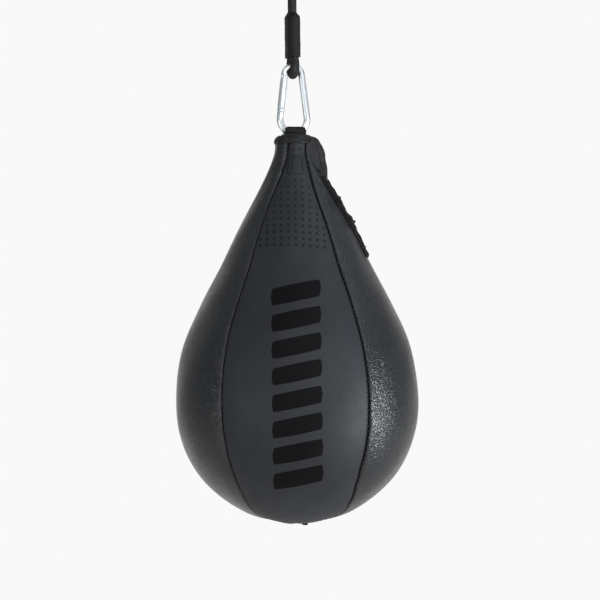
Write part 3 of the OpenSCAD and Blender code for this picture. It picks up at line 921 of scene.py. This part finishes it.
# tongue under the slit
nt, nq = 90, 13
t = np.linspace(9, 95, nt)
y = np.linspace(-5.5, 5.5, nq)
T, Y = np.meshgrid(t, y, indexing="ij")
lift = -1.9 + 2.7 * np.exp(-((Y / 2.3) ** 4)) / (1 + np.exp((T - 91) / 0.8)) - 0.9 + 0.35 * (1 - (Y / 5.5) ** 2)
P = slit_point(Y, T, lift)
ob = mesh_object("slit_tongue", P.reshape(-1, 3), grid_faces(nq, nt, flip=True))
paint(ob, M_trim)
ride_bag(ob, "leather", "lace_tongue")

# flap over the top of the lacing, a rounded shoulder from the collar down to the facings
nt, nq = 70, 64
x = np.linspace(0, 1, nt)
t = 1.0 + 35.0 * x
q = np.linspace(0, 1, nq)
reach = np.interp(t, [1, 1.8, 2.6, 4.2, 8.5, 15, 22.7, 27.5, 30.5, 33, 36], [11.5, 14.6, 16.6, 18.6, 21.1, 23.2, 24.1, 24.7, 25.0, 24.9, 24.2])
base_r = np.interp(t, [1, 6, 13, 19, 25, 31, 36], [11.4, 13.9, 14.3, 16.2, 18.5, 21.0, 23.4])
azq = 50 + 80 * q
rise = np.where(azq < 90, 0.5 - 0.5 * np.cos(math.pi * np.clip((azq - 50) / 34, 0, 1)), 0.5 - 0.5 * np.cos(math.pi * np.clip((130 - azq) / 30, 0, 1)))
ridge = 0.55 * np.exp(-(((azq - 66) / 2.6) ** 2)) - 0.75 * np.exp(-(((azq - 72) / 2.4) ** 2))
R2 = base_r[:, None] - 0.5 + (reach - base_r + 0.5)[:, None] * rise[None, :] + ridge[None, :] * np.interp(t, [1, 6, 26, 34], [0, 1, 1, 0])[:, None]
R2 += 0.22 * np.sin(t[:, None] * 0.5 + azq[None, :] * 0.09)
A = np.radians(np.repeat(azq[None, :], nt, axis=0))
Zt = SHOULDER - np.repeat(t[:, None], nq, axis=1)
outer = np.stack([R2 * np.sin(A), -R2 * np.cos(A), Zt], axis=-1)
Rin = np.repeat((base_r - 0.9)[:, None], nq, axis=1)
tail = np.stack([Rin[-1:] * np.sin(A[-1:]), -Rin[-1:] * np.cos(A[-1:]), Zt[-1:] - 0.8], axis=-1)
mid = outer[-1:] * 0.5 + tail * 0.5 + np.array([0, 0, -0.5])
head = np.stack([10.5 * np.sin(A[:1]), -10.5 * np.cos(A[:1]), Zt[:1] - 0.6], axis=-1)
P = np.concatenate([head, outer, mid, tail], axis=0)
ob = mesh_object("neck_flap_leather", P.reshape(-1, 3), grid_faces(nq, P.shape[0], flip=True))
paint(ob, M_trim)
ride_bag(ob, "leather", "neck_flap")

# lining just under the leather
s = np.linspace(0, S_END - 0.3, 120)
az = np.linspace(0, 360, 97)[:-1]
S, A = np.meshgrid(s, az, indexing="ij")
r, t = outline(S)
r2, t2 = outline(S + 0.5)
ln = np.hypot(r2 - r, t2 - t) + 1e-9
rr = np.maximum(r - 4.2 * (t2 - t) / ln, 0.02)
tt = t + 4.2 * (r2 - r) / ln
P = np.stack([rr * np.sin(np.radians(A)), -rr * np.cos(np.radians(A)), SHOULDER - tt], axis=-1)
ob = mesh_object("lining_cloth", P.reshape(-1, 3), grid_faces(96, 120, wrap=True, flip=True))
paint(ob, M_lining)
ride_bag(ob, "lining", "lining")

# knot at the bottom
pts = []
for k in range(60):
    a = k / 60 * 2 * math.pi * 3
    pts.append(np.array([4.6 + 1.75 * math.cos(a) * (1 - 0.12 * k / 60), 1.5 * math.sin(a), -488.75 - 1.15 * k / 60]))
for k in range(14):
    a = k / 14 * math.pi
    pts.append(np.array([4.6 + 1.9 * math.cos(a), 0.3 * math.sin(3 * a), -489.5 - 0.45 * math.sin(a)]))
v, f = tube("knot", pts, 0.5, around=9)
ob = mesh_object("seam_end_knot", v, f)
paint(ob, M_thread)
ride_bag(ob, "thread", "bottom_knot")

# ---------------------------------------------------------------- carried-over CAD nodes
for n in ("hook_frame", "hook_gate", "gate_rivet", "swivel_housing", "swivel_cap", "swivel_eye"):
    use_on_node(n, M_zinc)
for n in ("swivel_balls", "gate_latch_pin", "gate_plunger", "gate_spring", "upper_crimp", "lower_crimp"):
    use_on_node(n, M_steel)
for n in ("bladder", "bladder_valve"):
    use_on_node(n, M_bladder)

# ---------------------------------------------------------------- stage and light
# The backdrop glows instead of being lit by the lamps. This is painted light: it is brightest in the middle behind
# the bag and dims to the sides (past 0.75 m in x) and towards the front (y below 1.5 m), which also sets the rims and
# reflections on the bag.
def stage_material(name, value):
    m = bpy.data.materials.new(name)
    m.use_nodes = True
    nodes, links = m.node_tree.nodes, m.node_tree.links
    nodes.clear()
    out = nodes.new("ShaderNodeOutputMaterial")
    em = nodes.new("ShaderNodeEmission")
    em.inputs["Color"].default_value = (1, 1, 1, 1)
    sep = nodes.new("ShaderNodeSeparateXYZ")
    links.new(nodes.new("ShaderNodeTexCoord").outputs["Object"], sep.inputs[0])
    fall = nodes.new("ShaderNodeMapRange")
    fall.interpolation_type = "SMOOTHSTEP"
    fall.inputs["From Min"].default_value = 0.75
    fall.inputs["From Max"].default_value = 2.0
    fall.inputs["To Min"].default_value = value
    fall.inputs["To Max"].default_value = 0.36
    links.new(math_node(nodes, links, "ABSOLUTE", sep.outputs[0]), fall.inputs["Value"])
    deep = nodes.new("ShaderNodeMapRange")
    deep.interpolation_type = "SMOOTHSTEP"
    deep.inputs["From Min"].default_value = 0.5
    deep.inputs["From Max"].default_value = 1.5
    deep.inputs["To Min"].default_value = 0.75
    deep.inputs["To Max"].default_value = 1.0
    links.new(sep.outputs[1], deep.inputs["Value"])
    links.new(math_node(nodes, links, "MULTIPLY", fall.outputs[0], deep.outputs[0]), em.inputs["Strength"])
    links.new(em.outputs[0], out.inputs[0])
    return m


verts, nx = [], 2
curve = [(-6.0, -0.9)] + [(-4 + i * 0.5, -0.9) for i in range(11)]
for i in range(1, 13):
    a = i / 12 * math.pi / 2
    curve.append((1.6 + 0.9 * math.sin(a), 0.0 - 0.9 * math.cos(a)))
curve += [(2.5, z) for z in (0.8, 1.6, 2.6, 4.0)]
for yy, zz in curve:
    verts += [(-6000, yy * 1000, zz * 1000), (6000, yy * 1000, zz * 1000)]
floor = mesh_object("backdrop", verts, grid_faces(2, len(curve)))
paint(floor, stage_material("glowing_backdrop", 0.945))

world = bpy.data.worlds.new("world")
scene.world = world
world.use_nodes = True
world.node_tree.nodes["Background"].inputs[0].default_value = (0.84, 0.93, 1.0, 1)
world.node_tree.nodes["Background"].inputs[1].default_value = 0.25


def area(name, loc, target, sx, sy, power, color=(1, 1, 1)):
    d = bpy.data.lights.new(name, "AREA")
    d.shape = "RECTANGLE"
    d.size, d.size_y = sx, sy
    d.energy = power
    d.color = color
    o = bpy.data.objects.new(name, d)
    scene.collection.objects.link(o)
    o.location = loc
    o.rotation_euler = (Vector(target) - Vector(loc)).to_track_quat("-Z", "Y").to_euler()
    return o


area("key_right", (1.17, -0.53, -0.66), (0, 0, -0.4), 0.12, 0.40, 20, (0.92, 0.96, 1.0))
area("front_soft", (0.5, -1.9, 0.6), (0, 0, -0.35), 1.2, 0.9, 17, (0.97, 0.985, 1.0))
area("top_right", (0.95, -0.45, 0.85), (0, 0, -0.3), 0.9, 0.9, 5.5, (0.93, 0.965, 1.0))
area("left_low", (-1.0, -1.0, -0.62), (0, 0, -0.42), 0.6, 0.6, 5.5, (0.97, 0.985, 1.0))
area("top_left", (-0.95, -0.8, 0.8), (0, 0, -0.3), 0.7, 0.7, 3.0, (0.95, 0.975, 1.0))
